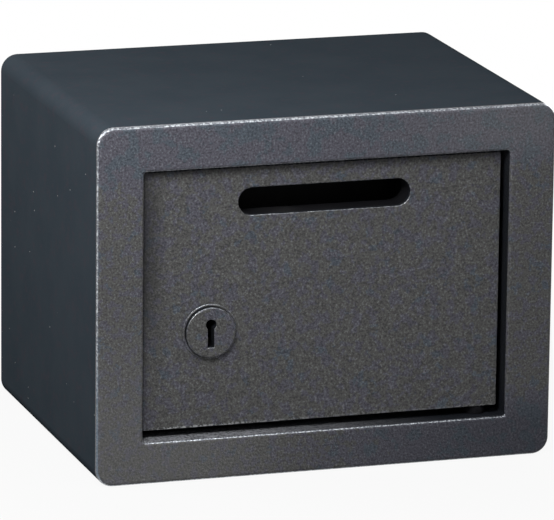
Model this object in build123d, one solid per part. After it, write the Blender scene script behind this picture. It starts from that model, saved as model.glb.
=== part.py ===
from build123d import *
import os
from math import cos, radians, sin

# A small steel deposit safe: a folded cabinet, a pressed front frame, and a flush door with a
# deposit slot, a lever lock worked by a key, and two round bolts that shoot to the left.
# Millimetres. X to the right seen from the front, Y into the safe, Z up.
# The origin is at the middle of the footprint, on the surface that the safe stands on.

# Cabinet
width = 330.0
depth = 252.0
height = 252.0
corner_radius = 12.0
shell_thickness = 2.0
back_thickness = 2.0
weld_gap = 0.1

# Front frame, pressed from one sheet: a face, and a return folded back round the opening
frame_thickness = 4.0
frame_edge_round = 3.0
lip_round = 2.2
side_rail = 33.0
top_rail = 32.0
bottom_rail = 29.5
opening_corner_radius = 2.0
return_thickness = 3.0

# Anchor holes in the floor and in the back
anchor_diameter = 12.0
floor_anchor_spacing = 180.0
floor_anchor_setback = 30.0
back_anchor_spacing = 180.0
back_anchor_height = 150.0

# Floor mat
mat_thickness = 3.0
mat_margin = 11.0
mat_hole_diameter = 28.0
mat_front_gap = 3.0
mat_back_gap = 2.0

# Door plate
door_recess = 9.0
door_thickness = 4.0
lock_side_gap = 2.0
hinge_side_gap = 3.8
top_gap = 2.2
bottom_gap = 6.0
door_edge_round = 0.8
door_corner_radius = 1.5

# Tabs that the closed door rests on
stop_reach = 7.0
stop_thickness = 3.0
stop_length = 10.0
stop_lower_inset = 2.0
stop_upper_inset = 8.0

# Deposit slot, its liner and the chute behind it
slot_width = 124.5
slot_height = 19.5
slot_below_door_top = 24.5
liner_wall = 1.5
liner_depth = 16.0
sheet = 1.2
hood_side_clearance = 6.25
hood_rise = 19.7
hood_depth = 67.0
hood_flange = 10.0
hood_back_drop = 37.5
hood_cheek_foot = 12.0
hood_cheek_toe = 32.0
hood_above_cover = 2.0
hood_screw_inset = 7.0
slide_drop = 11.5
slide_reach = 47.0
slide_lip = 8.0
slide_off_door = 2.0
slide_side_gap = 0.2
teeth_side_inset = 6.0
teeth_count = 16
teeth_height = 5.0
teeth_strip = 6.5

# Hinge pins, which stand in holes in the return above and below the door
hinge_inset = 13.2
hinge_setback = 8.0
pin_diameter = 8.0
hinge_block_size = 14.0
hinge_block_height = 22.0
hinge_block_rear = 3.0
hinge_block_chamfer = 1.5
upper_block_drop = 0.8
pin_chamfer = 0.8
pin_recess = 1.0
hinge_plate_thickness = 4.0
hinge_plate_half_length = 20.0
return_past_pin = 7.0

# Live bolts, with the bar that joins them
throw = 14.0
bolt_diameter = 14.0
bolt_tip_gap = 4.5
bolt_end_inset = 14.0
bolt_past_return = 1.5
bolt_tip_chamfer = 1.5
bar_thickness = 4.0
bar_past_bolt = 8.0
bar_off_case = 0.5
bar_off_door = 1.0
bar_behind_bolt = 0.5
guide_thickness = 3.0
guide_inset = 8.0
guide_wing = 18.0
guide_wing_thickness = 2.5
guide_wing_setback = 1.8
guide_end_inset = 2.5
keeper_thickness = 4.0
keeper_clearance = 1.0

# Key and keyhole
key_inset = 47.7
key_shank_diameter = 7.5
key_slot_width = 4.6
key_slot_reach = 16.3
key_edge_round = 0.5
escutcheon_diameter = 35.4
escutcheon_height = 4.5
escutcheon_round = 1.0
rim_diameter = 39.0
rim_height = 1.2
rim_round = 0.8
groove_width = 0.6
groove_depth = 1.0
escutcheon_drop = 5.6
spigot_diameter = 24.0

# Lever lock, measured from the key's axis
barrel_radius = 8.0
barrel_front_gap = 0.2
barrel_end_wall = 2.2
journal_radius = 4.0
journal_proud = 0.4
case_sheet = 1.5
case_left = 16.7
case_right = 34.8
case_below = 16.0
case_above = 39.0
case_flange = 7.0
pillar_diameter = 5.0
pillar_wall_gap = 0.2
lid_screw_grip = 5.5
lid_hole_depth = 6.2
lock_plate_thickness = 4.0
lock_plate_bottom = 10.5
lock_plate_top = 28.0
talon_width = 9.0
talon_depth = 5.5
tenon_inset = 3.5
stump_size = 4.0
stump_x = 18.3
stump_z = 22.5
stump_end_gap = 1.0
pivot_x = 28.8
pivot_diameter = 5.0
guide_post_x = -9.7
guide_post_diameter = 4.0
guide_slot_clearance = 0.2
post_end = 0.2
lever_lifts = (6.0, 8.0, 5.0, 7.0, 6.5)
lever_thickness = 1.8
lever_gap = 0.4
lever_pack_end = 1.3
lever_end_gap = 1.5
lever_nose_x = -11.0
lever_nose_z = 13.6
lever_belly_half_width = 9.5
lever_belly_foot = 10.6
lever_belly_top = 11.4
lever_belly_per_degree = 0.4
lever_root = 14.0
lever_eye_radius = 6.0
lever_top = 31.0
lever_shoulder = 26.0
lever_top_left = 4.0
lever_top_right = 20.0
gate_clearance = 0.6
stop_pin_diameter = 2.6
stop_pin_inset = 4.0
spring_leaf = 0.5
spring_roof_gap = 0.1
spring_side_gap = 0.1
spring_root_x = 25.0
spring_bend_x = 20.0
spring_tip_x = 5.0

# Boltwork cover
cover_lower_margin = 20.5
cover_flange = 8.0
cover_right = 46.3
cover_below_liner = 21.05
cover_above_lock = 4.5
cover_behind_bar = 3.8
cover_screw_inset_left = 12.0
cover_screw_inset_right = 9.0

# Screws
m4_radius = 2.0
m4_head_radius = 3.3
m4_head_height = 2.4
m4_grip = 2.5
m3_radius = 1.5
m3_head_radius = 2.75
m3_head_height = 1.8
m5_radius = 2.5
m5_head_radius = 4.6
m5_length = 12.0
m5_socket_radius = 1.5
m5_socket_depth = 1.8
crown_share = 0.4
drive_share = 0.42
drive_depth_share = 0.5

# Clearances
running = 0.05
slip = 0.3
touch = 0.02
screw_clearance = 0.15
hole_past_screw = 0.2

# How far a piece reaches into the one it is joined to, and a cutter past the face it cuts
joined = 0.5
past = 1.0

# Places that follow from the sizes above
front_y = -depth / 2
back_y = depth / 2
frame_back_y = front_y + frame_thickness
opening_left = -width / 2 + side_rail
opening_right = width / 2 - side_rail
opening_bottom = bottom_rail
opening_top = height - top_rail
opening_width = opening_right - opening_left
opening_height = opening_top - opening_bottom
opening_middle_z = (opening_top + opening_bottom) / 2

door_front_y = front_y + door_recess
door_back_y = door_front_y + door_thickness
door_left = opening_left + lock_side_gap
door_right = opening_right - hinge_side_gap
door_bottom = opening_bottom + bottom_gap
door_top = opening_top - top_gap

hinge_x = door_right - hinge_inset
hinge_y = door_front_y + hinge_setback
return_back_y = hinge_y + return_past_pin

slot_z = door_top - slot_below_door_top
liner_back_y = door_back_y + liner_depth
liner_bottom = slot_z - slot_height / 2 - liner_wall
hood_half_width = slot_width / 2 + liner_wall + hood_side_clearance
hood_top = slot_z + hood_rise
hood_back_y = door_back_y + hood_depth
hood_bottom = slot_z - hood_back_drop

cover_bottom = door_bottom + cover_lower_margin
cover_top = liner_bottom - cover_below_liner
cover_left = door_left + guide_inset

key_x = door_left + key_inset
key_z = cover_top - cover_above_lock - case_flange - case_sheet - case_above
escutcheon_z = key_z - escutcheon_drop

bolt_y = return_back_y + bolt_past_return + bolt_diameter / 2
bolt_tip_x = opening_left + bolt_tip_gap
bolt_heights = (cover_bottom + bolt_end_inset, cover_top - bolt_end_inset)
bar_right_x = key_x - case_left - case_sheet - bar_off_case
bar_left_x = bar_right_x - bar_thickness
bar_front_y = door_back_y + bar_off_door
bar_back_y = bolt_y + bolt_diameter / 2 + bar_behind_bolt
cover_inner_y = bar_back_y + cover_behind_bar
cover_outer_y = cover_inner_y + sheet

case_front_y = door_back_y + case_sheet
plate_front_y = case_front_y + slip
plate_back_y = plate_front_y + lock_plate_thickness
levers_front_y = plate_back_y + lever_gap
lever_pitch = lever_thickness + lever_gap
case_inner_y = levers_front_y + len(lever_lifts) * lever_pitch + lever_pack_end
case_back_y = case_inner_y + case_sheet
case_x0 = key_x - case_left
case_x1 = key_x + case_right
case_z0 = key_z - case_below
case_z1 = key_z + case_above
pivot_z = key_z + stump_z


def block(x0, x1, y0, y1, z0, z1):
    """A box between two corners."""
    size = Box(x1 - x0, y1 - y0, z1 - z0)
    return Pos((x0 + x1) / 2, (y0 + y1) / 2, (z0 + z1) / 2) * size


def along_y(sketch, y0, y1):
    """A sketch drawn in X and Z, extruded from y0 to y1."""
    return extrude(Plane.XZ.offset(-y1) * sketch, amount=y1 - y0, dir=(0, -1, 0))


def along_x(sketch, x0, x1):
    """A sketch drawn in Y and Z, extruded from x0 to x1."""
    return extrude(Plane.YZ.offset(x0) * sketch, amount=x1 - x0, dir=(1, 0, 0))


def along_z(sketch, z0, z1):
    """A sketch drawn in X and Y, extruded from z0 to z1."""
    return extrude(Plane.XY.offset(z0) * sketch, amount=z1 - z0, dir=(0, 0, 1))


def rod_y(x, z, radius, y0, y1):
    """A round rod that runs front to back."""
    return along_y(Pos(x, z) * Circle(radius), y0, y1)


def rod_z(x, y, radius, z0, z1):
    """A round rod that stands upright."""
    return along_z(Pos(x, y) * Circle(radius), z0, z1)


def rod_x(y, z, radius, x0, x1):
    """A round rod that lies from left to right."""
    return along_x(Pos(y, z) * Circle(radius), x0, x1)


def edges_on_front(shape, y):
    """The edges of a shape that lie in the plane at y."""
    return shape.edges().filter_by_position(Axis.Y, y - 0.01, y + 0.01)


def floor_anchor_places():
    """Centres of the floor's anchor holes in X and Y."""
    return [(side * floor_anchor_spacing / 2, floor_anchor_setback) for side in (-1, 1)]


def back_anchor_places():
    """Centres of the back's anchor holes in X and Z."""
    return [(side * back_anchor_spacing / 2, back_anchor_height) for side in (-1, 1)]


def lock_screw_places():
    """Centres of the four screws that hold the lock case to the door."""
    across = (case_x0 + case_flange, case_x1 - case_flange)
    up = (case_z0 - case_sheet - case_flange / 2, case_z1 + case_sheet + case_flange / 2)
    return [(x, z) for x in across for z in up]


def pillar_places():
    """Centres of the pillars in the corners of the lock case."""
    inset = pillar_diameter / 2 + pillar_wall_gap
    across = (case_x0 + inset, case_x1 - inset)
    up = (case_z0 + inset, case_z1 - inset)
    return [(x, z) for x in across for z in up]


def cover_screw_places():
    """Centres of the four screws that hold the boltwork cover."""
    across = (cover_left + cover_screw_inset_left, key_x + cover_right - cover_screw_inset_right)
    up = (cover_bottom - cover_flange / 2, cover_top + cover_flange / 2)
    return [(x, z) for x in across for z in up]


def hood_screw_places():
    """Centres of the four screws that hold the chute's hood."""
    across = (-hood_half_width - hood_flange / 2, hood_half_width + hood_flange / 2)
    up = (hood_flange_bottom() + hood_screw_inset, hood_top - hood_screw_inset)
    return [(x, z) for x in across for z in up]


def hood_flange_bottom():
    """Lower end of the hood's flanges, just above the boltwork cover."""
    return cover_top + cover_flange + hood_above_cover


def make_body_shell():
    """Folded wrap of sheet steel: top, sides and floor."""
    outer = RectangleRounded(width, height, corner_radius)
    inner = RectangleRounded(width - 2 * shell_thickness, height - 2 * shell_thickness,
                             corner_radius - shell_thickness)
    shell = along_y(Pos(0, height / 2) * (outer - inner), frame_back_y, back_y)
    for x, y in floor_anchor_places():
        shell -= rod_z(x, y, anchor_diameter / 2, -past, shell_thickness + past)
    return shell


def make_back_panel():
    """Back plate, welded inside the wrap."""
    inset = 2 * (shell_thickness + weld_gap)
    outline = RectangleRounded(width - inset, height - inset, corner_radius - inset / 2)
    panel = along_y(Pos(0, height / 2) * outline, back_y - back_thickness, back_y)
    for x, z in back_anchor_places():
        panel -= rod_y(x, z, anchor_diameter / 2, back_y - back_thickness - past, back_y + past)
    return panel


def make_front_frame():
    """Pressed frame with a rounded outer edge and a return round the opening."""
    place = Pos(0, height / 2)
    hole_place = Pos((opening_left + opening_right) / 2, opening_middle_z)
    outline = place * RectangleRounded(width, height, corner_radius)
    hole = hole_place * RectangleRounded(opening_width, opening_height, opening_corner_radius)
    collar = hole_place * RectangleRounded(opening_width + 2 * return_thickness,
                                           opening_height + 2 * return_thickness,
                                           opening_corner_radius + return_thickness)
    frame = along_y(outline, front_y, frame_back_y)
    frame += along_y(collar, frame_back_y - joined, return_back_y)
    frame -= along_y(hole, front_y - past, return_back_y + past)
    outer = [e for e in edges_on_front(frame, front_y) if not is_beside_opening(e)]
    frame = fillet(outer, frame_edge_round)
    inner = [e for e in edges_on_front(frame, front_y) if is_beside_opening(e)]
    frame = fillet(inner, lip_round)
    for z0, z1 in ((opening_bottom - return_thickness - past, opening_bottom + past),
                   (opening_top - past, opening_top + return_thickness + past)):
        frame -= rod_z(hinge_x, hinge_y, pin_diameter / 2 + running, z0, z1)
    return frame


def is_beside_opening(edge):
    """True for an edge of the frame's face that bounds the opening."""
    middle = edge.center()
    across = opening_left - past < middle.X < opening_right + past
    up = opening_bottom - past < middle.Z < opening_top + past
    return across and up


def make_hinge_plate(z0, z1):
    """Doubler welded outside the return, bored for the hinge pin."""
    plate = block(hinge_x - hinge_plate_half_length, hinge_x + hinge_plate_half_length,
                  frame_back_y, return_back_y, z0, z1)
    return plate - rod_z(hinge_x, hinge_y, pin_diameter / 2 + running, z0 - past, z1 + past)


def make_bolt_keeper():
    """Strip welded behind the lock side's return, with a hole for each live bolt."""
    keeper = block(opening_left - keeper_thickness, opening_left, return_back_y,
                   bolt_y + bolt_diameter, bolt_heights[0] - bolt_diameter,
                   bolt_heights[1] + bolt_diameter)
    for z in bolt_heights:
        radius = bolt_diameter / 2 + keeper_clearance
        keeper -= rod_x(bolt_y, z, radius, opening_left - keeper_thickness - past,
                        opening_left + past)
    return keeper


def make_door_stops():
    """Two tabs welded to the lock side's return, which the closed door rests on."""
    stops = []
    front = door_back_y + slip
    for z0 in (door_bottom + stop_lower_inset, door_top - stop_upper_inset - stop_length):
        stops.append(block(opening_left, door_left + stop_reach, front, front + stop_thickness,
                           z0, z0 + stop_length))
    return Compound(children=stops)


def make_floor_mat():
    """Felt mat on the floor, with a hole round each anchor hole."""
    half = width / 2 - shell_thickness - mat_margin
    mat = block(-half, half, frame_back_y + mat_front_gap, back_y - back_thickness - mat_back_gap,
                shell_thickness, shell_thickness + mat_thickness)
    for x, y in floor_anchor_places():
        mat -= rod_z(x, y, mat_hole_diameter / 2, 0, shell_thickness + mat_thickness + past)
    return mat


def make_door_plate():
    """Flat steel door with the deposit slot, the lock's hole and blind holes for screws."""
    across = door_right - door_left
    tall = door_top - door_bottom
    place = Pos((door_left + door_right) / 2, (door_top + door_bottom) / 2)
    door = along_y(place * RectangleRounded(across, tall, door_corner_radius),
                   door_front_y, door_back_y)
    door -= along_y(Pos(0, slot_z) * SlotOverall(slot_width, slot_height),
                    door_front_y - past, door_back_y + past)
    door = fillet(edges_on_front(door, door_front_y), door_edge_round)
    door -= rod_y(key_x, escutcheon_z, spigot_diameter / 2 + running,
                  door_front_y - past, door_back_y + past)
    hole_end = door_back_y - m4_grip - hole_past_screw
    for x, z in lock_screw_places() + cover_screw_places() + hood_screw_places():
        door -= rod_y(x, z, m4_radius + running, hole_end, door_back_y + past)
    return door


def keyhole_outline(extra=0.0):
    """Round head with a straight slot below it, drawn round the key's axis."""
    half = key_slot_width / 2 + extra
    slot = Pos(0, -(key_slot_reach + extra) / 2) * Rectangle(2 * half, key_slot_reach + extra)
    return Pos(key_x, key_z) * (Circle(key_shank_diameter / 2 + extra) + slot)


def make_escutcheon():
    """Turned disc round the keyhole: a rim, a groove, a raised face and a spigot in the door."""
    face_y = door_front_y - escutcheon_height
    rim_y = door_front_y - rim_height
    radius = escutcheon_diameter / 2
    rim = rod_y(key_x, escutcheon_z, rim_diameter / 2, rim_y, door_front_y)
    rim = fillet(edges_on_front(rim, rim_y), rim_round)
    rim -= rod_y(key_x, escutcheon_z, radius + groove_width, rim_y - past, rim_y + groove_depth)
    disc = rod_y(key_x, escutcheon_z, radius, face_y, door_front_y)
    disc = fillet(edges_on_front(disc, face_y), escutcheon_round)
    disc += rim + rod_y(key_x, escutcheon_z, spigot_diameter / 2, door_front_y - joined, door_back_y)
    disc -= along_y(keyhole_outline(), face_y - past, door_back_y + past)
    keyhole_edges = [e for e in edges_on_front(disc, face_y) if e.length < escutcheon_diameter]
    return fillet(keyhole_edges, key_edge_round)


def make_slot_liner():
    """Throat welded behind the slot."""
    outer = SlotOverall(slot_width + 2 * liner_wall, slot_height + 2 * liner_wall)
    inner = SlotOverall(slot_width, slot_height)
    return along_y(Pos(0, slot_z) * (outer - inner), door_back_y, liner_back_y)


def make_chute_slide():
    """Sloping sheet that carries what is posted to the back of the chute."""
    top_z = liner_bottom - touch
    end_y = door_back_y + slide_reach
    end_z = top_z - slide_drop
    half = hood_half_width - sheet - slide_side_gap
    start_y = door_back_y + slide_off_door
    profile = Polygon((start_y, top_z), (liner_back_y, top_z), (end_y, end_z),
                      (end_y, end_z - sheet), (liner_back_y, top_z - sheet),
                      (start_y, top_z - sheet), align=None)
    slide = along_x(profile, -half, half)
    lip = Polygon((liner_back_y, top_z - sheet / 2), (end_y, end_z - sheet / 2),
                  (end_y, end_z + slide_lip), (liner_back_y, top_z + slide_lip), align=None)
    slide += along_x(lip, -half, -half + sheet)
    slide += along_x(lip, half - sheet, half)
    return slide


def make_anti_fish_teeth():
    """Toothed strip that hangs from the end of the slide."""
    back = door_back_y + slide_reach
    top_z = liner_bottom - touch - slide_drop - sheet - touch
    half = hood_half_width - teeth_side_inset
    pitch = 2 * half / teeth_count
    points = [(-half, top_z), (half, top_z), (half, top_z - teeth_strip)]
    for number in range(teeth_count):
        right = half - number * pitch
        points.append((right - pitch / 2, top_z - teeth_strip - teeth_height))
        points.append((right - pitch, top_z - teeth_strip))
    return along_y(Polygon(*points, align=None), back - sheet, back)


def make_chute_hood():
    """Folded hood over the chute: top, two cheeks, a long back and fixing flanges."""
    low = hood_flange_bottom()
    cheek = Polygon((door_back_y, low), (door_back_y, hood_top), (hood_back_y, hood_top),
                    (hood_back_y, hood_bottom), (hood_back_y - hood_cheek_foot, hood_bottom),
                    (hood_back_y - hood_cheek_toe, low), align=None)
    half = hood_half_width
    hood = along_x(cheek, -half, -half + sheet)
    hood += along_x(cheek, half - sheet, half)
    hood += block(-half, half, hood_back_y - sheet, hood_back_y, hood_bottom, hood_top)
    hood += block(-half, half, door_back_y, hood_back_y, hood_top - sheet, hood_top)
    for side in (-1, 1):
        x0, x1 = sorted((side * (half - sheet), side * (half + hood_flange)))
        hood += block(x0, x1, door_back_y, door_back_y + sheet, low, hood_top)
    for x, z in hood_screw_places():
        hood -= rod_y(x, z, m4_radius + screw_clearance, door_back_y - past,
                      door_back_y + sheet + past)
    return hood


def pan_screw(x, z, seat_y, grip, radius, head_radius, head_height):
    """Screw driven from behind: its head sits at seat_y and its shank runs forwards."""
    top_y = seat_y + head_height
    head = rod_y(x, z, head_radius, seat_y, top_y)
    head = fillet(edges_on_front(head, top_y), head_height * crown_share)
    drive_y = seat_y + head_height * drive_depth_share
    drive = rod_y(x, z, head_radius * drive_share, drive_y, top_y + past)
    return head + rod_y(x, z, radius, seat_y - grip, seat_y + touch) - drive


def screw_group(places, seat_y, grip, radius, head_radius, head_height):
    """A set of like screws as one group of solids."""
    return Compound(children=[pan_screw(x, z, seat_y, grip, radius, head_radius, head_height)
                              for x, z in places])


def make_hinge_block(z0):
    """Block welded behind the door, which holds a hinge pin."""
    half = hinge_block_size / 2
    rear_y = hinge_y + half + hinge_block_rear
    top = z0 + hinge_block_height
    body = block(hinge_x - half, hinge_x + half, door_back_y, rear_y, z0, top)
    body -= rod_z(hinge_x, hinge_y, pin_diameter / 2 + touch, z0 - past, top + past)
    return chamfer(edges_on_front(body, rear_y).filter_by(Axis.Z), hinge_block_chamfer)


def make_hinge_pin(z0, z1, chamfer_top):
    """Hinge pin with a chamfered free end."""
    pin = rod_z(hinge_x, hinge_y, pin_diameter / 2, z0, z1)
    end = z1 if chamfer_top else z0
    return chamfer(pin.edges().filter_by_position(Axis.Z, end - 0.01, end + 0.01), pin_chamfer)


def make_hinge_spacer():
    """Washer stack on the lower pin, which sets the gap under the door."""
    low = opening_bottom + slip
    high = door_bottom - touch
    ring = rod_z(hinge_x, hinge_y, hinge_block_size / 2, low, high)
    return ring - rod_z(hinge_x, hinge_y, pin_diameter / 2 + touch, low - past, high + past)


def make_bolt_guide():
    """Folded bracket welded to the door, which the live bolts slide in."""
    low = cover_bottom + guide_end_inset
    high = cover_top - guide_end_inset
    guide = block(cover_left, cover_left + guide_thickness, door_back_y, cover_inner_y,
                  low, high)
    for z0 in (low, high - guide_wing_thickness):
        guide += block(cover_left, cover_left + guide_wing, door_back_y,
                       cover_inner_y - guide_wing_setback, z0, z0 + guide_wing_thickness)
    for z in bolt_heights:
        radius = bolt_diameter / 2 + running
        guide -= rod_x(bolt_y, z, radius, cover_left - past, cover_left + guide_thickness + past)
    return guide


def make_lock_case():
    """Pressed tray of the lock, with fixing flanges and corner pillars."""
    x0 = case_x0 - case_sheet
    x1 = case_x1 + case_sheet
    z0 = case_z0 - case_sheet
    z1 = case_z1 + case_sheet
    front = door_back_y - past
    behind = case_front_y + joined
    case = block(x0, x1, door_back_y, case_inner_y, z0, z1)
    case -= block(case_x0, case_x1, case_front_y, case_inner_y + past, case_z0, case_z1)
    case += block(x0, x1, door_back_y, case_front_y, z0 - case_flange, z1 + case_flange)
    for x, z in pillar_places():
        case += rod_y(x, z, pillar_diameter / 2, case_front_y - joined, case_inner_y)
        case -= rod_y(x, z, m3_radius + running, case_inner_y - lid_hole_depth, case_inner_y + past)
    case -= along_y(keyhole_outline(slip), front, behind)
    case -= rod_y(key_x, key_z, barrel_radius + running, front, behind)
    case -= block(x0 - past, case_x0 + past, case_front_y, plate_back_y + slip,
                  key_z + lock_plate_bottom - slip, key_z + lock_plate_top + slip)
    for x, z in lock_screw_places():
        case -= rod_y(x, z, m4_radius + screw_clearance, front, behind)
    for x in (key_x + pivot_x, key_x + guide_post_x):
        case -= rod_y(x, pivot_z, m3_radius + touch, front, behind)
    return case


def make_lock_cover():
    """Lid of the lock case, with the rear bearing of the key barrel."""
    lid = block(case_x0 - case_sheet, case_x1 + case_sheet, case_inner_y, case_back_y,
                case_z0 - case_sheet, case_z1 + case_sheet)
    front = case_inner_y - past
    behind = case_back_y + past
    lid -= rod_y(key_x, key_z, journal_radius + running, front, behind)
    for x, z in pillar_places():
        lid -= rod_y(x, z, m3_radius + screw_clearance, front, behind)
    for x, z in ((key_x + pivot_x, pivot_z), stop_pin_place()):
        lid -= rod_y(x, z, m3_radius / 2 + touch, front, behind)
    return lid


def stop_pin_place():
    """Centre of the pin that the levers' noses rest on."""
    z = key_z + lever_nose_z - slip - stop_pin_diameter / 2
    return key_x - case_left + stop_pin_inset, z


def make_lever_post():
    """Pivot of the levers, riveted into the case and the lid."""
    x = key_x + pivot_x
    post = rod_y(x, pivot_z, pivot_diameter / 2, case_front_y + touch, case_inner_y - touch)
    post += rod_y(x, pivot_z, m3_radius, door_back_y + touch, case_front_y + joined)
    return post + rod_y(x, pivot_z, m3_radius / 2, case_inner_y - joined, case_back_y)


def make_stop_pin():
    """Pin in the lid that the levers' noses rest on."""
    x, z = stop_pin_place()
    pin = rod_y(x, z, stop_pin_diameter / 2, plate_back_y + post_end, case_inner_y - touch)
    return pin + rod_y(x, z, m3_radius / 2, case_inner_y - joined, case_back_y)


def make_guide_post():
    """Short post in the case, which the slot of the lock bolt runs on."""
    x = key_x + guide_post_x
    end_y = plate_back_y + post_end
    post = rod_y(x, pivot_z, guide_post_diameter / 2, case_front_y + touch, end_y)
    return post + rod_y(x, pivot_z, m3_radius, door_back_y + touch, case_front_y + joined)


def make_key_barrel():
    """Turning barrel with the keyway, in the case in front and the lid behind."""
    front = door_back_y + barrel_front_gap
    shoulder = case_inner_y - slip
    barrel = rod_y(key_x, key_z, barrel_radius, front, shoulder)
    end_y = case_back_y + journal_proud
    barrel += rod_y(key_x, key_z, journal_radius, shoulder - joined, end_y)
    return barrel - along_y(keyhole_outline(), front - past, shoulder - barrel_end_wall)


def gate_outline(lift):
    """The gate in a lever: the way of the stump as the lever lifts, and a pocket at its end."""
    half = stump_size / 2 + gate_clearance
    steps = 6
    upper = []
    lower = []
    for step in range(steps + 1):
        share = step / steps
        angle = radians(lift) * share
        arm_x = stump_x - pivot_x - throw * share
        x = arm_x * cos(angle)
        z = arm_x * sin(angle)
        reach = half if step == 0 else (-half if step == steps else 0.0)
        upper.append((pivot_x + x + reach, stump_z + z + half))
        lower.append((pivot_x + x + reach, stump_z + z - half))
    gate = make_face(Polyline(*upper, *reversed(lower), close=True))
    end_x, end_z = upper[-1]
    pocket_height = stump_z + half - end_z
    pocket = Rectangle(2 * half, pocket_height + 2 * joined)
    return gate + Pos(end_x + half, end_z + pocket_height / 2) * pocket


def make_lever(number):
    """One lever, with its own lift, gate and belly."""
    lift = lever_lifts[number]
    front = levers_front_y + number * lever_pitch
    left = -case_left + lever_end_gap
    belly = lever_belly_top + (max(lever_lifts) - lift) * lever_belly_per_degree
    low_right = (pivot_x, stump_z - lever_eye_radius)
    top_right = (pivot_x, stump_z + lever_eye_radius)
    belly_right = (lever_belly_half_width, lever_belly_foot)
    belly_left = (-lever_belly_half_width, lever_belly_foot)
    lower = Polyline(low_right, (lever_root, lever_root), belly_right)
    arc = ThreePointArc(belly_right, (0.0, belly), belly_left)
    upper = Polyline(belly_left, (lever_nose_x, lever_nose_z), (left, lever_nose_z),
                     (left, lever_shoulder), (lever_top_left, lever_top),
                     (lever_top_right, lever_top), top_right)
    end = ThreePointArc(top_right, (pivot_x + lever_eye_radius, stump_z), low_right)
    outline = make_face(Curve() + [lower, arc, upper, end])
    outline -= gate_outline(lift)
    outline -= Pos(pivot_x, stump_z) * Circle(pivot_diameter / 2 + running)
    return along_y(Pos(key_x, key_z) * outline, front, front + lever_thickness)


def make_lever_springs():
    """Leaf springs from the top of the case, one on each lever."""
    roof = case_above - spring_roof_gap
    tip_z = lever_top + slip
    outline = Polygon((spring_root_x, roof), (spring_bend_x, roof), (spring_tip_x, tip_z + spring_leaf),
                      (spring_tip_x, tip_z), (spring_bend_x, roof - spring_leaf),
                      (spring_root_x, roof - spring_leaf), align=None)
    springs = []
    for number in range(len(lever_lifts)):
        front = levers_front_y + number * lever_pitch
        springs.append(along_y(Pos(key_x, key_z) * outline, front + spring_side_gap,
                               front + lever_thickness - spring_side_gap))
    return Compound(children=springs)


def make_lock_bolt():
    """Flat bolt of the lock, with its talon, its stump and a tenon in the bar."""
    right = key_x + stump_x + stump_size
    low = key_z + lock_plate_bottom
    high = key_z + lock_plate_top
    bolt = block(bar_right_x + touch, right, plate_front_y, plate_back_y, low, high)
    talon_x = key_x + throw / 2
    bolt -= block(talon_x - talon_width / 2, talon_x + talon_width / 2, plate_front_y - past,
                  plate_back_y + past, low - past, low + talon_depth)
    slot = SlotCenterToCenter(throw + guide_slot_clearance, guide_post_diameter + guide_slot_clearance)
    slot_x = key_x + guide_post_x + throw / 2
    bolt -= along_y(Pos(slot_x, pivot_z) * slot, plate_front_y - past, plate_back_y + past)
    half = stump_size / 2
    bolt += block(key_x + stump_x - half, key_x + stump_x + half, plate_back_y - joined,
                  case_inner_y - stump_end_gap, pivot_z - half, pivot_z + half)
    tenon_low, tenon_high = tenon_heights()
    bolt += block(bar_left_x, bar_right_x + joined, plate_front_y, plate_back_y, tenon_low, tenon_high)
    return bolt


def tenon_heights():
    """Lower and upper edge of the lock bolt's tenon."""
    return key_z + lock_plate_bottom + tenon_inset, key_z + lock_plate_top - tenon_inset


def make_bolt_bar():
    """Upright bar that joins both live bolts to the lock bolt."""
    bar = block(bar_left_x, bar_right_x, bar_front_y, bar_back_y,
                bolt_heights[0] - bar_past_bolt, bolt_heights[1] + bar_past_bolt)
    tenon_low, tenon_high = tenon_heights()
    bar -= block(bar_left_x - past, bar_right_x + past, plate_front_y - touch, plate_back_y + touch,
                 tenon_low - touch, tenon_high + touch)
    for z in bolt_heights:
        bar -= countersunk(z, touch)
    return bar


def countersunk(z, extra):
    """Countersunk screw from the right into the end of a live bolt, grown by extra."""
    depth_of_head = m5_head_radius - m5_radius
    cone = Plane(origin=(bar_right_x - depth_of_head, bolt_y, z), z_dir=(1, 0, 0))
    head = cone * Cone(m5_radius + extra, m5_head_radius + extra, depth_of_head,
                       align=(Align.CENTER, Align.CENTER, Align.MIN))
    return head + rod_x(bolt_y, z, m5_radius + extra, bar_right_x - m5_length,
                        bar_right_x - depth_of_head + touch)


def make_live_bolt(z):
    """Round bolt with a chamfered tip, tapped in its other end."""
    bolt = rod_x(bolt_y, z, bolt_diameter / 2, bolt_tip_x, bar_left_x)
    tip = bolt.edges().filter_by_position(Axis.X, bolt_tip_x - 0.01, bolt_tip_x + 0.01)
    bolt = chamfer(tip, bolt_tip_chamfer)
    return bolt - rod_x(bolt_y, z, m5_radius + touch, bar_right_x - m5_length - hole_past_screw,
                        bar_left_x + past)


def make_bolt_screws():
    """The two countersunk screws that hold the live bolts to the bar."""
    screws = []
    for z in bolt_heights:
        socket = rod_x(bolt_y, z, m5_socket_radius, bar_right_x - m5_socket_depth, bar_right_x + past)
        screws.append(countersunk(z, 0.0) - socket)
    return Compound(children=screws)


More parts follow.
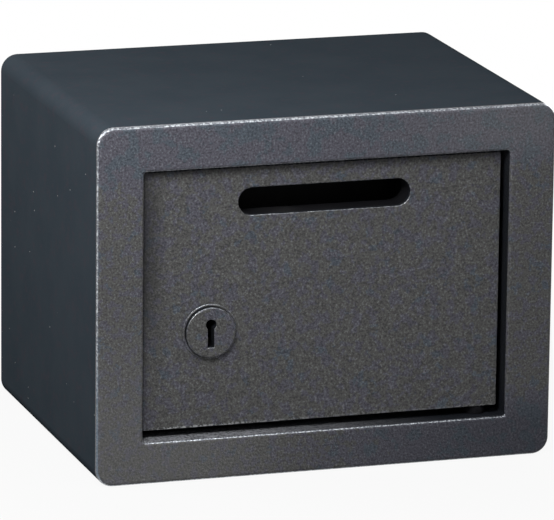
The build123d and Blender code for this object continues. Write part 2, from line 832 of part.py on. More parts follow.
def make_boltwork_cover():
    """Folded pan over the lock and the bolts, open on the side of the guide."""
    right = key_x + cover_right
    cover = block(cover_left, right, door_back_y, cover_outer_y, cover_bottom, cover_top)
    cover -= block(cover_left - past, right - sheet, door_back_y - past, cover_inner_y,
                   cover_bottom + sheet, cover_top - sheet)
    cover += block(cover_left, right + cover_flange, door_back_y, door_back_y + sheet,
                   cover_bottom - cover_flange, cover_bottom + sheet)
    cover += block(cover_left, right + cover_flange, door_back_y, door_back_y + sheet,
                   cover_top - sheet, cover_top + cover_flange)
    cover += block(right - sheet, right + cover_flange, door_back_y, door_back_y + sheet,
                   cover_bottom - cover_flange, cover_top + cover_flange)
    for x, z in cover_screw_places():
        cover -= rod_y(x, z, m4_radius + screw_clearance, door_back_y - past,
                       door_back_y + sheet + past)
    return cover


def make_all():
    """Every node of the safe by name."""
    pin_low = opening_bottom - return_thickness - hinge_plate_thickness + pin_recess
    pin_high = opening_top + return_thickness + hinge_plate_thickness - pin_recess
    upper_block = door_top - upper_block_drop - hinge_block_height
    lower_block = door_bottom
    nodes = {
        "body_shell": make_body_shell(),
        "back_panel": make_back_panel(),
        "front_frame": make_front_frame(),
        "hinge_plate_lower": make_hinge_plate(opening_bottom - return_thickness
                                              - hinge_plate_thickness,
                                              opening_bottom - return_thickness),
        "hinge_plate_upper": make_hinge_plate(opening_top + return_thickness,
                                              opening_top + return_thickness
                                              + hinge_plate_thickness),
        "bolt_keeper": make_bolt_keeper(),
        "door_stops": make_door_stops(),
        "floor_mat": make_floor_mat(),
        "door_plate": make_door_plate(),
        "escutcheon": make_escutcheon(),
        "slot_liner": make_slot_liner(),
        "chute_slide": make_chute_slide(),
        "chute_hood": make_chute_hood(),
        "anti_fish_teeth": make_anti_fish_teeth(),
        "hinge_block_lower": make_hinge_block(lower_block),
        "hinge_block_upper": make_hinge_block(upper_block),
        "hinge_pin_lower": make_hinge_pin(pin_low, lower_block + hinge_block_height, False),
        "hinge_pin_upper": make_hinge_pin(upper_block, pin_high, True),
        "hinge_spacer": make_hinge_spacer(),
        "bolt_guide": make_bolt_guide(),
        "lock_case": make_lock_case(),
        "lock_cover": make_lock_cover(),
        "lock_screws": screw_group(lock_screw_places(), case_front_y, m4_grip + case_sheet,
                                   m4_radius, m4_head_radius, m4_head_height),
        "lock_cover_screws": screw_group(pillar_places(), case_back_y, case_sheet + lid_screw_grip,
                                         m3_radius, m3_head_radius, m3_head_height),
        "lever_post": make_lever_post(),
        "lever_stop_pin": make_stop_pin(),
        "lock_bolt_guide_post": make_guide_post(),
        "lever_springs": make_lever_springs(),
        "boltwork_cover": make_boltwork_cover(),
        "cover_and_hood_screws": screw_group(cover_screw_places() + hood_screw_places(),
                                             door_back_y + sheet, m4_grip + sheet,
                                             m4_radius, m4_head_radius, m4_head_height),
        "key_barrel": make_key_barrel(),
        "lock_bolt": make_lock_bolt(),
        "bolt_bar": make_bolt_bar(),
        "live_bolt_lower": make_live_bolt(bolt_heights[0]),
        "live_bolt_upper": make_live_bolt(bolt_heights[1]),
        "bolt_screws": make_bolt_screws(),
    }
    for number in range(len(lever_lifts)):
        nodes[f"lever_{number + 1}"] = make_lever(number)
    return nodes


os.makedirs("parts", exist_ok=True)
for node, shape in make_all().items():
    export_step(shape, f"parts/{node}.step")
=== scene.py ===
from math import cos, pi, radians, sin

import bpy
from mathutils import Matrix, Vector


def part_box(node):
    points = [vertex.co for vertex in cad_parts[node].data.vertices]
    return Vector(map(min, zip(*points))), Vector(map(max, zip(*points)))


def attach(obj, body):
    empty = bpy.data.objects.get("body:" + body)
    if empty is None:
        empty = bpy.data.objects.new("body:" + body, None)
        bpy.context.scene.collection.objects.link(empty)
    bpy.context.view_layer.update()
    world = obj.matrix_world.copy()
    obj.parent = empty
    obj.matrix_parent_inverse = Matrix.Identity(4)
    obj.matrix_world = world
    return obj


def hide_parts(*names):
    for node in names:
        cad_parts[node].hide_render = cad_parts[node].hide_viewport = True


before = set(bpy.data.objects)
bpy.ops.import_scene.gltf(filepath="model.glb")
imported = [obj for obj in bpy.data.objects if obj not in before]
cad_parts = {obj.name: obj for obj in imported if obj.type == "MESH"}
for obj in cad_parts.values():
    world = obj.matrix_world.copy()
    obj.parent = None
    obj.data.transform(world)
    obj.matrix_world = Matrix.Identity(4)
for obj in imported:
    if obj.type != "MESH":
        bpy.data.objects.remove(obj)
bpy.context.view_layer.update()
scene = bpy.context.scene
scene.view_settings.view_transform = "Standard"

# The safe is seen from the left of its front and a little above, through a long lens, so its
# upright edges stay almost parallel and the door fills most of the view.
photo_width = 554
focal_length_in_pixels = 5691.13
sensor_width_mm = 36.0
eye = Vector((-1.19912, -3.72846, 1.09645))
yaw = radians(17.8786)
pitch = radians(13.9946)
roll = radians(0.6638)

ahead = Vector((sin(yaw) * cos(pitch), cos(yaw) * cos(pitch), -sin(pitch)))
level_right = Vector((cos(yaw), -sin(yaw), 0.0))
level_up = level_right.cross(ahead)
right = cos(roll) * level_right + sin(roll) * level_up
up = cos(roll) * level_up - sin(roll) * level_right
camera = bpy.data.objects.new("camera", bpy.data.cameras.new("camera"))
camera.data.sensor_width = sensor_width_mm
camera.data.lens = focal_length_in_pixels * sensor_width_mm / photo_width
camera.matrix_world = Matrix.Translation(eye) @ Matrix((right, up, -ahead)).transposed().to_4x4()
scene.collection.objects.link(camera)
scene.camera = camera


# Soft studio light. The main box stands in front of the safe's upper left corner, so the light
# falls off to the lower right. A large box overhead draws the bright line on the top edge, one at
# the left lights that side, and large ones fill in from the front and from the back.
lamp_target = Vector((0.0, 0.0, 0.13))


def softbox(name, place, width, height, watts):
    """A rectangular lamp at a place, turned to the middle of the safe."""
    lamp = bpy.data.lights.new(name, "AREA")
    lamp.shape = "RECTANGLE"
    lamp.size = width
    lamp.size_y = height
    lamp.energy = watts
    holder = bpy.data.objects.new(name, lamp)
    holder.location = place
    holder.rotation_euler = (lamp_target - Vector(place)).to_track_quat("-Z", "Y").to_euler()
    scene.collection.objects.link(holder)


softbox("main_softbox", (-0.36, -0.58, 0.62), width=0.26, height=0.26, watts=7.9)
softbox("overhead_softbox", (0.4, -0.8, 1.6), width=0.6, height=1.1, watts=9.0)
softbox("left_softbox", (-0.72, 0.12, 0.66), width=0.3, height=0.3, watts=6.2)
softbox("front_softbox", (-0.8, -2.6, 1.2), width=1.2, height=1.2, watts=1.5)
softbox("back_softbox", (1.8, 1.7, 0.7), width=1.2, height=1.2, watts=40.0)


# The safe stands on a pale seamless floor that runs out of sight, in a surround that looks white
# and gives little light. The floor keeps the soft shadow of the safe, and turns to plain white
# further out.
floor_reach = 9.0
floor_tone = (0.2, 0.2, 0.2, 1.0)
white = (1.0, 1.0, 1.0, 1.0)
floor_glow = 0.93
shadow_reach = 0.24
white_from = 0.6
ambient = 0.2


class Link:
    """One output of a node. Arithmetic on links adds the Math nodes that it needs."""

    def __init__(self, tree, socket=None):
        self.tree = tree
        self.socket = socket

    def fill(self, made, sockets):
        """Sets a node's sockets to values or links."""
        for name, value in sockets.items():
            if isinstance(value, Link):
                self.tree.links.new(value.socket, made.inputs[name])
            else:
                made.inputs[name].default_value = value

    def node(self, kind, settings, sockets, output=0):
        """Adds a node: first its settings, then its sockets. Gives the link of one output."""
        made = self.tree.nodes.new(kind)
        for name, value in settings.items():
            setattr(made, name, value)
        self.fill(made, sockets)
        return Link(self.tree, made.outputs[output])

    def maths(self, operation, first, second):
        """A Math node on two values or links."""
        return self.node("ShaderNodeMath", {"operation": operation}, {0: first, 1: second})

    def mix(self, share, first, second):
        """A colour between two colours."""
        return self.node("ShaderNodeMix", {"data_type": "RGBA"}, {0: share, 6: first, 7: second}, 2)

    def step(self, low, high):
        """0 below low, 1 above high, and a smooth rise between them."""
        return self.node("ShaderNodeMapRange", {"interpolation_type": "SMOOTHSTEP"},
                         {0: self, 1: low, 2: high})

    def __add__(self, other):
        return self.maths("ADD", self, other)

    def __sub__(self, other):
        return self.maths("SUBTRACT", self, other)

    def __rsub__(self, other):
        return self.maths("SUBTRACT", other, self)

    def __mul__(self, other):
        return self.maths("MULTIPLY", self, other)

    __radd__ = __add__
    __rmul__ = __mul__


def looked_at(start):
    """1 for what the camera sees, also in metal and through glass, and 0 for light that falls."""
    seen = start.node("ShaderNodeLightPath", {}, {}, "Is Camera Ray")
    for ray in ("Is Glossy Ray", "Is Transmission Ray"):
        seen = start.maths("MAXIMUM", seen, start.node("ShaderNodeLightPath", {}, {}, ray))
    return seen


corners = [(-floor_reach, -floor_reach, 0.0), (floor_reach, -floor_reach, 0.0),
           (floor_reach, floor_reach, 0.0), (-floor_reach, floor_reach, 0.0)]
floor_mesh = bpy.data.meshes.new("floor")
floor_mesh.from_pydata(corners, [], [(0, 1, 2, 3)])
floor = bpy.data.objects.new("floor", floor_mesh)
scene.collection.objects.link(floor)

floor_finish = bpy.data.materials.new("pale_floor")
floor_finish.use_nodes = True
floor_finish.node_tree.nodes.clear()
floor_start = Link(floor_finish.node_tree)
floor_place = floor_start.node("ShaderNodeTexCoord", {}, {}, "Object")
from_safe = floor_start.node("ShaderNodeVectorMath", {"operation": "LENGTH"}, {0: floor_place}, "Value")
whiteness = from_safe.step(shadow_reach, white_from) * (1.0 - floor_glow) + floor_glow
glow_share = looked_at(floor_start) * whiteness
lit = floor_start.node("ShaderNodeBsdfDiffuse", {}, {"Color": floor_tone})
glow = floor_start.node("ShaderNodeEmission", {}, {"Color": white, "Strength": 1.0})
blend = floor_start.node("ShaderNodeMixShader", {}, {0: glow_share, 1: lit, 2: glow})
floor_output = floor_finish.node_tree.nodes.new("ShaderNodeOutputMaterial")
floor_start.fill(floor_output, {"Surface": blend})
floor.data.materials.append(floor_finish)

world = bpy.data.worlds.new("surround")
world.use_nodes = True
scene.world = world
around = Link(world.node_tree)
brightness = looked_at(around) * (1.0 - ambient) + ambient
around.fill(world.node_tree.nodes["Background"], {"Color": white, "Strength": brightness})


# The pressed front frame, the flat door and the turned escutcheon are steel under one grey powder
# coat, which dries in small dimples with violet and blue green patches. Painted shade darkens the
# dimples' hollows and the sides that turn away, and painted glints lighten the dimples' crests. The
# frame's rounds carry a painted highlight and its upward sides painted light, and the door has a
# painted highlight along its lower edge and a painted shadow beside its opening edge.
dimple_size = 0.00145
grain_size = 0.0006
coat_height = 0.0006
dimple_part = 0.8
grain_part = 0.25
coat_roughness = 0.34
grain_roughness = 0.1
coat_gloss = 0.16


def new_finish(name, sockets):
    """An empty finish and the link that its nodes start from. The sockets are those that stay even."""
    finish = bpy.data.materials.new(name)
    finish.use_nodes = True
    start = Link(finish.node_tree)
    start.fill(finish.node_tree.nodes["Principled BSDF"], sockets)
    return finish, start


def cover(finish, sockets):
    """Links the surface shader's sockets to what changes over the surface."""
    Link(finish.node_tree).fill(finish.node_tree.nodes["Principled BSDF"], sockets)


def place_in_metres(start):
    """Where a point of the piece is, in metres, fixed to the piece as it moves."""
    return start.node("ShaderNodeTexCoord", {}, {}, "Object")


def noise(start, where, size, detail, roughness):
    """Cloudy values about 0.5, in patches of a size in metres."""
    return start.node("ShaderNodeTexNoise", {}, {"Vector": where, "Scale": 1.0 / size,
                                                 "Detail": detail, "Roughness": roughness})


def bumps(start, height, depth):
    """The normal of a surface that a height from 0 to 1 lifts by a depth in metres."""
    return start.node("ShaderNodeBump", {}, {"Strength": 1.0, "Distance": depth, "Height": height})


def put_on(finish, names):
    """Gives CAD nodes their finish."""
    for name in names:
        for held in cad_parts[name].material_slots:
            held.material = finish


def facing(start, axis):
    """How far the surface faces along an axis of the piece, from -1 to 1."""
    normal = start.node("ShaderNodeTexCoord", {}, {}, "Normal")
    return start.node("ShaderNodeSeparateXYZ", {}, {0: normal}, axis)


# In each pair of values, here and below, a change begins at the first and is complete at the
# second. They are places in metres, values of a noise, or how far the surface faces one way.
coat_grey = (0.054, 0.054, 0.0525, 1.0)
coat_violet = (0.053, 0.0525, 0.066, 1.0)
coat_blue_green = (0.043, 0.053, 0.066, 1.0)
patch_size = 0.007
patch_turn = (0.50, 0.56)
cast_size = 0.011
cast_turn = (0.57, 0.61)
more_patches_where_cool = 0.4
bluer_where_cool = 0.06
# Painted shade darkens the dimples' hollows, and painted glints lighten their crests.
dimple_painted_shade_tone = (0.005, 0.005, 0.006, 1.0)
dimple_painted_shade_share = 0.59
dimple_wall = (0.3, 0.55)
dimple_crest = (0.56, 0.74)
grain_crest = (0.54, 0.7)
painted_glint_tone = (0.20, 0.205, 0.215, 1.0)
dimple_painted_glints = 0.3
grain_painted_glints = 0.22
# The ranges and shares below paint light and shade on the frame: a bluish tint of light along the top rail,
# painted shade at the lower right, and painted light at the lower left and the top right.
top_rail = (0.2, 0.235)
bottom_rail = (0.02, 0.055)
painted_shade_across = (-0.05, 0.16)
painted_shade_tone = (0.003, 0.005, 0.010, 1.0)
painted_shade_share = 0.46
painted_light_tone = (0.2, 0.2, 0.2, 1.0)
low_painted_light = 0.15
low_painted_light_across = (-0.1, 0.0)
low_painted_light_height = (0.0, 0.14)
top_painted_light = 0.12
top_painted_light_across = (0.0, 0.16)


def coat_colour(start, where, across, height, dimples, grain, frame_painted_light):
    """Grey with violet and blue green patches. Painted shade darkens the dimples' hollows and painted
    glints lighten their crests. On the frame a painted bluish tint of light lies along the top,
    painted light at the lower left and the top right, and painted shade at the lower right."""
    patches = noise(start, where, patch_size, detail=2.0, roughness=0.6)
    casts = noise(start, where, cast_size, detail=3.0, roughness=0.6)
    # Painted light and shade on the frame: a bluish tint at the top, shade at the lower right.
    top = height.step(*top_rail) * frame_painted_light
    low_right = across.step(*painted_shade_across) * (1.0 - height.step(*bottom_rail)) * frame_painted_light
    low_left = (1.0 - across.step(*low_painted_light_across)) * (1.0 - height.step(*low_painted_light_height)) * frame_painted_light
    painted_blue_tint = top + low_right
    cast = start.mix((casts + painted_blue_tint * bluer_where_cool).step(*cast_turn), coat_violet, coat_blue_green)
    hue = start.mix((patches + painted_blue_tint * more_patches_where_cool).step(*patch_turn), coat_grey, cast)
    # Painted shade in the dimples' hollows.
    dimple_painted_shade = start.mix(dimple_painted_shade_share, hue, dimple_painted_shade_tone)
    tone = start.mix(dimples.step(*dimple_wall), dimple_painted_shade, hue)
    # Painted glints on the dimples' crests.
    painted_glints = dimples.step(*dimple_crest) * dimple_painted_glints + grain.step(*grain_crest) * grain_painted_glints
    tone = start.mix(painted_glints, tone, painted_glint_tone)
    # Painted shade at the frame's lower right, then painted light at the lower left and top right.
    tone = start.mix(low_right * painted_shade_share, tone, painted_shade_tone)
    painted_light = low_left * low_painted_light + top * across.step(*top_painted_light_across) * top_painted_light
    return start.mix(painted_light, tone, painted_light_tone)


door_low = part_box("door_plate")[0]
# A painted highlight along the door's lower edge and a painted shadow beside its opening edge.
lower_highlight_height = 0.0022
lower_highlight_fade = 0.0014
lower_highlight_tone = (0.32, 0.33, 0.34, 1.0)
lower_highlight_share = 0.85
lower_highlight_crest = (0.4, 0.6)
lower_highlight_less_across = (-0.11, 0.02)
lower_highlight_less = 0.75
edge_shadow_tone = (0.005, 0.005, 0.006, 1.0)
edge_shadow_share = 0.66
edge_shadow_low_share = 0.3
edge_shadow_high_share = 0.7
edge_shadow_reach = 0.021
edge_shadow_bottom = (0.07, 0.14)
edge_shadow_top = (0.19, 0.215)


def door_painted_light_and_shadow(start, across, height, dimples, tone, lower_highlight_to, painted_edge_shadow):
    """The colour with a painted highlight along the door's lower edge, up to a height and most at the
    left, and a painted shadow beside its opening edge, strongest in its upper part."""
    lower_highlight = 1.0 - height.step(lower_highlight_to - lower_highlight_fade, lower_highlight_to)
    lower_highlight = lower_highlight * (1.0 - across.step(*lower_highlight_less_across) * lower_highlight_less)
    tone = start.mix(lower_highlight * dimples.step(*lower_highlight_crest) * lower_highlight_share, tone, lower_highlight_tone)
    # Painted shadow of the frame beside the door's opening edge.
    beside_edge = 1.0 - across.step(door_low.x, door_low.x + edge_shadow_reach)
    at_height = edge_shadow_low_share + height.step(*edge_shadow_bottom) * (1.0 - edge_shadow_low_share)
    at_height = at_height - height.step(*edge_shadow_top) * (1.0 - edge_shadow_high_share)
    return start.mix(beside_edge * at_height * edge_shadow_share * painted_edge_shadow, tone, edge_shadow_tone)


turned_aside = (0.03, 0.12)
turned_level = (0.2, 0.5)
turned_up = (0.5, 0.8)
# Painted shade on the sides that turn away from the front, as in the keyhole, the slot and the frame's
# opening, less on the low part of the frame's left round.
side_painted_shade_tone = (0.005, 0.006, 0.008, 1.0)
side_painted_shade_share = 0.92
side_painted_shade_less_low = 0.5
left_round_across = (-0.16, -0.15)
low_round_height = (0.04, 0.13)
round_from_side = (0.1, 0.3)
round_to_front = (0.4, 0.6)
# The values below paint a highlight on the rounds: a pale, metallic colour that reflects the lamps, fading
# to the right, bluish low on the frame's left round, and mostly left off the uprights at the right.
round_highlight_reach_level = 0.45
round_highlight_reach_left = 0.13
round_highlight_reach_low = 0.12
round_highlight_less_across = (-0.05, 0.1)
round_highlight_less = 0.9
round_highlight_hollow = (0.15, 0.16, 0.18, 1.0)
round_highlight_crest = (0.49, 0.52, 0.55, 1.0)
round_highlight_turn = (0.42, 0.64)
round_highlight_fades_across = (-0.08, 0.12)
round_highlight_fade = 0.45
round_highlight_low_tone = (0.10, 0.13, 0.165, 1.0)
round_highlight_low_share = 0.85
round_highlight_metallic = 0.85
round_highlight_polish = 0.08
# Painted light on the frame's upward sides, most at the left.
upward_painted_light_tone = (0.20, 0.205, 0.22, 1.0)
upward_painted_light_share = 0.9
upward_painted_light_across = (-0.1, 0.1)
upward_painted_light_crest = (0.3, 0.6)


def dimpled_coat(name, frame_painted_light=0.0, lower_highlight_to=0.0, painted_edge_shadow=0.0):
    """The grey coat. The first number is 1 on the frame, which gets painted light and shade from side
    to side. The second is the height of the painted highlight along the door's lower edge, and the
    third is 1 on the door, which gets a painted shadow beside its opening edge."""
    finish, start = new_finish(name, {"Specular IOR Level": coat_gloss})
    where = place_in_metres(start)
    across = start.node("ShaderNodeSeparateXYZ", {}, {0: where}, "X")
    height = start.node("ShaderNodeSeparateXYZ", {}, {0: where}, "Z")
    dimples = noise(start, where, dimple_size, detail=1.5, roughness=0.6)
    grain = noise(start, where, grain_size, detail=2.0, roughness=0.6)
    tone = coat_colour(start, where, across, height, dimples, grain, frame_painted_light)
    tone = door_painted_light_and_shadow(start, across, height, dimples, tone, lower_highlight_to, painted_edge_shadow)

    forward = start.maths("ABSOLUTE", facing(start, "Y"), 0.0)
    tilt = start.maths("ABSOLUTE", facing(start, "Z"), 0.0)
    upward = facing(start, "Z").step(*turned_up)
    upright = 1.0 - tilt.step(*turned_level)
    side = 1.0 - forward.step(*turned_aside)
    left_edge = upright * (1.0 - across.step(*left_round_across)) * frame_painted_light
    low_edge = left_edge * (1.0 - height.step(*low_round_height))
    # Where the painted highlight lies on the rounds.
    inward = tilt * round_highlight_reach_level + left_edge * round_highlight_reach_left + low_edge * round_highlight_reach_low
    edge = forward.step(*round_from_side) * (1.0 - (forward - inward).step(*round_to_front))
    edge = edge * (1.0 - upright * across.step(*round_highlight_less_across) * round_highlight_less)

    # The painted highlight's colour on the rounds, pale and metallic so that it reflects the lamps.
    rounds_painted_highlight = start.mix(dimples.step(*round_highlight_turn), round_highlight_hollow, round_highlight_crest)
    rounds_painted_highlight = start.mix(across.step(*round_highlight_fades_across) * round_highlight_fade, rounds_painted_highlight, tone)
    rounds_painted_highlight = start.mix(low_edge * round_highlight_low_share, rounds_painted_highlight, round_highlight_low_tone)
    # Painted shade on the sides that turn away from the front.
    tone = start.mix(side * (side_painted_shade_share - low_edge * side_painted_shade_less_low), tone, side_painted_shade_tone)
    # Painted light on the frame's upward sides, most at the left.
    upward_painted_light = (1.0 - across.step(*upward_painted_light_across)) * dimples.step(*upward_painted_light_crest) * frame_painted_light * upward_painted_light_share
    tone = start.mix(side * upward * upward_painted_light, tone, upward_painted_light_tone)
    cover(finish, {"Base Color": start.mix(edge, tone, rounds_painted_highlight),
                   "Metallic": edge * round_highlight_metallic,
                   "Roughness": coat_roughness + grain * grain_roughness - edge * round_highlight_polish,
                   "Normal": bumps(start, dimples * dimple_part + grain * grain_part, coat_height)})
    return finish


# The frame's coat carries painted light and shade.
put_on(dimpled_coat("frame_powder_coat_painted_light", frame_painted_light=1.0), ["front_frame"])
# The door's coat carries a painted highlight along its lower edge and a painted shadow beside its opening
# edge.
put_on(dimpled_coat("door_powder_coat_painted_light", lower_highlight_to=door_low.z + lower_highlight_height, painted_edge_shadow=1.0),
       ["door_plate"])
put_on(dimpled_coat("dimpled_powder_coat"), ["escutcheon"])


# The cabinet is one wrap of sheet steel with its back plate welded in. It has a smoother, darker
# slate coat with a fine grain, and a few pale specks from handling.
slate_dark = (0.021, 0.028, 0.035, 1.0)
slate_light = (0.024, 0.031, 0.038, 1.0)
slate_cloud_size = 0.035
slate_cloud_turn = (0.3, 0.7)
slate_violet = (0.034, 0.028, 0.035, 1.0)
slate_violet_size = 0.006
slate_violet_turn = (0.52, 0.7)
slate_violet_share = 0.45
slate_dusty = (0.045, 0.05, 0.056, 1.0)
slate_grain_size = 0.0007
slate_grain_turn = (0.3, 0.8)
slate_dusty_share = 0.2
slate_grain_height = 0.00004
speck_pale = (0.5, 0.5, 0.5, 1.0)
speck_share = 0.7
speck_spacing = 0.011
speck_rim = (0.03, 0.05)
speck_choice = (0.86, 0.88)
slate_roughness = 0.46
slate_cloud_roughness = 0.12

satin, start = new_finish("slate_powder_coat", {"Specular IOR Level": 0.0})
where = place_in_metres(start)
grain = noise(start, where, slate_grain_size, detail=3.0, roughness=0.6)
cloud = noise(start, where, slate_cloud_size, detail=3.0, roughness=0.55)
violet = noise(start, where, slate_violet_size, detail=2.0, roughness=0.6)
cells = {"Vector": where, "Scale": 1.0 / speck_spacing}
from_speck = start.node("ShaderNodeTexVoronoi", {}, cells, "Distance")
chosen = start.node("ShaderNodeTexVoronoi", {}, cells, "Color")
chosen = start.node("ShaderNodeSeparateColor", {}, {0: chosen})
speck = (1.0 - from_speck.step(*speck_rim)) * chosen.step(*speck_choice)
slate = start.mix(cloud.step(*slate_cloud_turn), slate_dark, slate_light)
slate = start.mix(violet.step(*slate_violet_turn) * slate_violet_share, slate, slate_violet)
slate = start.mix(grain.step(*slate_grain_turn) * slate_dusty_share, slate, slate_dusty)
cover(satin, {"Base Color": start.mix(speck * speck_share, slate, speck_pale),
              "Roughness": slate_roughness + cloud * slate_cloud_roughness,
              "Normal": bumps(start, grain, slate_grain_height)})
put_on(satin, ["body_shell", "back_panel", "hinge_plate_lower", "hinge_plate_upper", "bolt_keeper",
               "door_stops"])


# The slot's throat, the chute with its toothed strip, the hinge blocks, the bolt guide and the
# cover over the boltwork are steel on the back of the door, most of them folded from sheet. They
# have a thin black coat with the marks of hands, dark enough to stand in for the shade inside
# the slot.
thin_black_clean = (0.005, 0.005, 0.006, 1.0)
thin_black_marked = (0.012, 0.012, 0.013, 1.0)
thin_black_grain_size = 0.0012
thin_black_grain_height = 0.00005
mark_size = 0.03
mark_turn = (0.45, 0.7)
thin_black_gloss = 0.12
thin_black_roughness = 0.38
mark_roughness = 0.25

thin_black, start = new_finish("thin_black_coat", {"Specular IOR Level": thin_black_gloss})
where = place_in_metres(start)
grain = noise(start, where, thin_black_grain_size, detail=3.0, roughness=0.6)
marks = noise(start, where, mark_size, detail=4.0, roughness=0.6)
black = start.mix(marks.step(*mark_turn), thin_black_clean, thin_black_marked)
cover(thin_black, {"Base Color": black,
                   "Roughness": thin_black_roughness + marks * mark_roughness,
                   "Normal": bumps(start, grain, thin_black_grain_height)})
put_on(thin_black, ["slot_liner", "chute_slide", "chute_hood", "anti_fish_teeth",
                    "hinge_block_lower", "hinge_block_upper", "bolt_guide", "boltwork_cover"])


# The lock's case and lid, the bolt bar, the lock bolt and all the screws are mild steel under
# bright zinc, which shows pale clouds and faint draw lines. Inside the lock, painted shade lies
# dark and dull round the key barrel, where the keyhole is in shade.
zinc_blue = (0.50, 0.52, 0.54, 1.0)
zinc_yellow = (0.64, 0.63, 0.58, 1.0)
zinc_cloud_size = 0.008
zinc_cloud_turn = (0.3, 0.7)
zinc_gloss = 0.2
zinc_roughness = 0.30
zinc_cloud_roughness = 0.15
draw_line_scale = (40.0, 900.0, 4000.0)
draw_line_roughness = 0.06
tool_mark_depth = 0.00001
barrel_low, barrel_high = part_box("key_barrel")
barrel_middle = (barrel_low + barrel_high) / 2
keyhole_painted_shade_tone = (0.006, 0.0055, 0.005, 1.0)
keyhole_shade_reach = (0.018, 0.023)


def bright_zinc(name, shades_keyhole=False):
    """The zinc plating, and on the lock's case and lid painted shade round the key barrel."""
    finish, start = new_finish(name, {"Specular IOR Level": zinc_gloss, "Metallic": 1.0})
    where = place_in_metres(start)
    cloud = noise(start, where, zinc_cloud_size, detail=4.0, roughness=0.65)
    lines = start.node("ShaderNodeMapping", {}, {"Vector": where, "Scale": draw_line_scale})
    lines = start.node("ShaderNodeTexNoise", {}, {"Vector": lines, "Scale": 1.0, "Detail": 2.0})
    tone = start.mix(cloud.step(*zinc_cloud_turn), zinc_blue, zinc_yellow)
    # Painted shade round the key barrel, dark and not metallic.
    if shades_keyhole:
        away = start.node("ShaderNodeVectorMath", {"operation": "SUBTRACT"}, {0: where, 1: barrel_middle})
        away = start.node("ShaderNodeVectorMath", {"operation": "MULTIPLY"}, {0: away, 1: (1.0, 0.0, 1.0)})
        away = start.node("ShaderNodeVectorMath", {"operation": "LENGTH"}, {0: away}, "Value")
        keyhole_painted_shade = 1.0 - away.step(*keyhole_shade_reach)
        tone = start.mix(keyhole_painted_shade, tone, keyhole_painted_shade_tone)
        cover(finish, {"Metallic": 1.0 - keyhole_painted_shade})
    cover(finish, {"Base Color": tone,
                   "Roughness": zinc_roughness + cloud * zinc_cloud_roughness + lines * draw_line_roughness,
                   "Normal": bumps(start, lines, tool_mark_depth)})
    return finish


put_on(bright_zinc("zinc_with_keyhole_shade", shades_keyhole=True), ["lock_case", "lock_cover"])
put_on(bright_zinc("bright_zinc"), ["bolt_bar", "lock_bolt", "cover_and_hood_screws", "lock_screws",
                                    "lock_cover_screws", "bolt_screws"])


# The live bolts, posts and springs are bright steel. Bolts and posts are turned, so fine rings
# run round each of them, across the way that the piece lies.
steel_clean = (0.56, 0.56, 0.57, 1.0)
steel_oiled = (0.44, 0.43, 0.41, 1.0)
steel_oil_size = 0.006
steel_oil_turn = (0.35, 0.7)
steel_roughness = 0.22
steel_ring_roughness = 0.14
steel_oil_roughness = 0.08
along_piece = 5000.0
round_piece = 30.0


def turned_steel(name, ring_scale):
    """Bright steel with tool marks that change quickly along the piece's own axis."""
    finish, start = new_finish(name, {"Metallic": 1.0})
    where = place_in_metres(start)
    rings = start.node("ShaderNodeMapping", {}, {"Vector": where, "Scale": ring_scale})
    rings = start.node("ShaderNodeTexNoise", {}, {"Vector": rings, "Scale": 1.0, "Detail": 3.0})
    oil = noise(start, where, steel_oil_size, detail=3.0, roughness=0.6)
    cover(finish, {"Base Color": start.mix(oil.step(*steel_oil_turn), steel_clean, steel_oiled),
                   "Roughness": steel_roughness + rings * steel_ring_roughness + oil * steel_oil_roughness,
                   "Normal": bumps(start, rings, tool_mark_depth)})
    return finish


put_on(turned_steel("steel_turned_across", (along_piece, round_piece, round_piece)),
       ["live_bolt_lower", "live_bolt_upper"])
put_on(turned_steel("steel_turned_inward", (round_piece, along_piece, round_piece)),
       ["lever_post", "lever_stop_pin", "lock_bolt_guide_post", "lever_springs"])


# The key barrel, the hinge pins and the hinge's washer are turned steel, blackened and oiled. The
# oil lies unevenly and the tool marks just show. Their black also stands in for the shade in the
# keyhole and in the gap under the door.
black_steel_dry = (0.003, 0.003, 0.004, 1.0)
black_steel_oiled = (0.008, 0.008, 0.009, 1.0)
black_steel_oil_size = 0.004
black_steel_oil_turn = (0.35, 0.7)
black_steel_ring_scale = (60.0, 60.0, 4000.0)
black_steel_gloss = 0.05
black_steel_roughness = 0.32
black_steel_oil_roughness = 0.2

blackened, start = new_finish("blackened_steel", {"Specular IOR Level": black_steel_gloss})
where = place_in_metres(start)
oil = noise(start, where, black_steel_oil_size, detail=3.0, roughness=0.6)
rings = start.node("ShaderNodeMapping", {}, {"Vector": where, "Scale": black_steel_ring_scale})
rings = start.node("ShaderNodeTexNoise", {}, {"Vector": rings, "Scale": 1.0, "Detail": 2.0})
black = start.mix(oil.step(*black_steel_oil_turn), black_steel_dry, black_steel_oiled)
cover(blackened, {"Base Color": black,
                  "Roughness": black_steel_roughness + oil * black_steel_oil_roughness,
                  "Normal": bumps(start, rings, tool_mark_depth)})
put_on(blackened, ["key_barrel", "hinge_pin_lower", "hinge_pin_upper", "hinge_spacer"])


# The five levers are stamped from brass strip and lie side by side on the lever post. Use has
# dulled them, and their faces are finely scratched.
brass_bright = (0.74, 0.55, 0.27, 1.0)
brass_tarnished = (0.42, 0.28, 0.12, 1.0)
tarnish_size = 0.005
tarnish_turn = (0.35, 0.75)
scratch_size = 0.0004
brass_roughness = 0.28
tarnish_roughness = 0.3

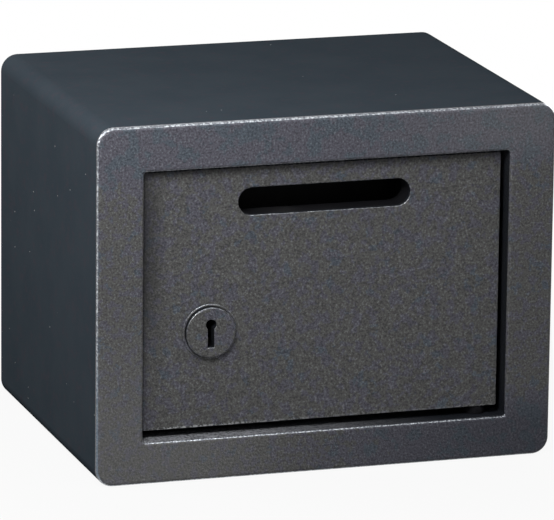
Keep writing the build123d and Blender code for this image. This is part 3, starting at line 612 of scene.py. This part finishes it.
brass, start = new_finish("dull_brass", {"Metallic": 1.0})
where = place_in_metres(start)
tarnish = noise(start, where, tarnish_size, detail=4.0, roughness=0.65)
scratches = noise(start, where, scratch_size, detail=2.0, roughness=0.6)
cover(brass, {"Base Color": start.mix(tarnish.step(*tarnish_turn), brass_bright, brass_tarnished),
              "Roughness": brass_roughness + tarnish * tarnish_roughness,
              "Normal": bumps(start, scratches, tool_mark_depth)})
put_on(brass, ["lever_1", "lever_2", "lever_3", "lever_4", "lever_5"])


# The floor mat is black needle felt, cut to the floor with a hole round each anchor hole, and
# laid loose. Its cut edges are slightly rounded and its face is matted with short fibres.
mat_low, mat_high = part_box("floor_mat")
mat_thickness = mat_high.z - mat_low.z
mat_hole_radius = 0.014
points_round_hole = 8
anchor_spacing = 0.18
anchor_setback = 0.03
edge_round = 0.0009
felt_dark = (0.010, 0.010, 0.012, 1.0)
felt_light = (0.045, 0.045, 0.050, 1.0)
felt_tufted = (0.03, 0.03, 0.036, 1.0)
fibre_size = 0.0011
fibre_turn = (0.3, 0.75)
tuft_size = 0.006
tuft_share = 0.3
nap_height = 0.0004
fibre_part = 0.8
tuft_part = 0.4
felt_roughness = 0.88
tuft_roughness = 0.1


def closed_spline(curve, points, smooth):
    """Adds one closed outline to a flat curve."""
    spline = curve.splines.new("BEZIER" if smooth else "POLY")
    held = spline.bezier_points if smooth else spline.points
    held.add(len(points) - 1)
    for point, (x, y) in zip(held, points):
        point.co = (x, y, 0.0) if smooth else (x, y, 0.0, 1.0)
        if smooth:
            point.handle_left_type = "AUTO"
            point.handle_right_type = "AUTO"
    spline.use_cyclic_u = True


def ring_of_points(x, y, radius, count):
    """Points round a hole."""
    return [(x + radius * cos(2 * pi * i / count), y + radius * sin(2 * pi * i / count))
            for i in range(count)]


outline = bpy.data.curves.new("felt_mat", "CURVE")
outline.dimensions = "2D"
outline.fill_mode = "BOTH"
outline.resolution_u = 10
closed_spline(outline, [(mat_low.x + edge_round, mat_low.y + edge_round),
                        (mat_high.x - edge_round, mat_low.y + edge_round),
                        (mat_high.x - edge_round, mat_high.y - edge_round),
                        (mat_low.x + edge_round, mat_high.y - edge_round)], smooth=False)
for side in (-1, 1):
    hole = ring_of_points(side * anchor_spacing / 2, anchor_setback,
                          mat_hole_radius + edge_round, points_round_hole)
    closed_spline(outline, hole, smooth=True)
outline.extrude = mat_thickness / 2 - edge_round
outline.bevel_depth = edge_round
outline.bevel_resolution = 3
drawn = bpy.data.objects.new("felt_mat_outline", outline)
scene.collection.objects.link(drawn)
drawn.location = (0.0, 0.0, (mat_low.z + mat_high.z) / 2)
bpy.context.view_layer.update()
felt_mesh = bpy.data.meshes.new_from_object(drawn)
felt_mesh.transform(drawn.matrix_world)
felt_mat = bpy.data.objects.new("felt_mat", felt_mesh)
scene.collection.objects.link(felt_mat)
bpy.data.objects.remove(drawn)

felt, start = new_finish("needle_felt", {"Specular IOR Level": 0.2, "Sheen Weight": 0.3,
                                         "Sheen Roughness": 0.5})
where = place_in_metres(start)
fibres = noise(start, where, fibre_size, detail=5.0, roughness=0.7)
tufts = noise(start, where, tuft_size, detail=3.0, roughness=0.6)
tone = start.mix(fibres.step(*fibre_turn), felt_dark, felt_light)
cover(felt, {"Base Color": start.mix(tufts * tuft_share, tone, felt_tufted),
             "Roughness": felt_roughness + tufts * tuft_roughness,
             "Normal": bumps(start, fibres * fibre_part + tufts * tuft_part, nap_height)})
felt_mat.data.materials.append(felt)
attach(felt_mat, "cabinet")
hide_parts("floor_mat")
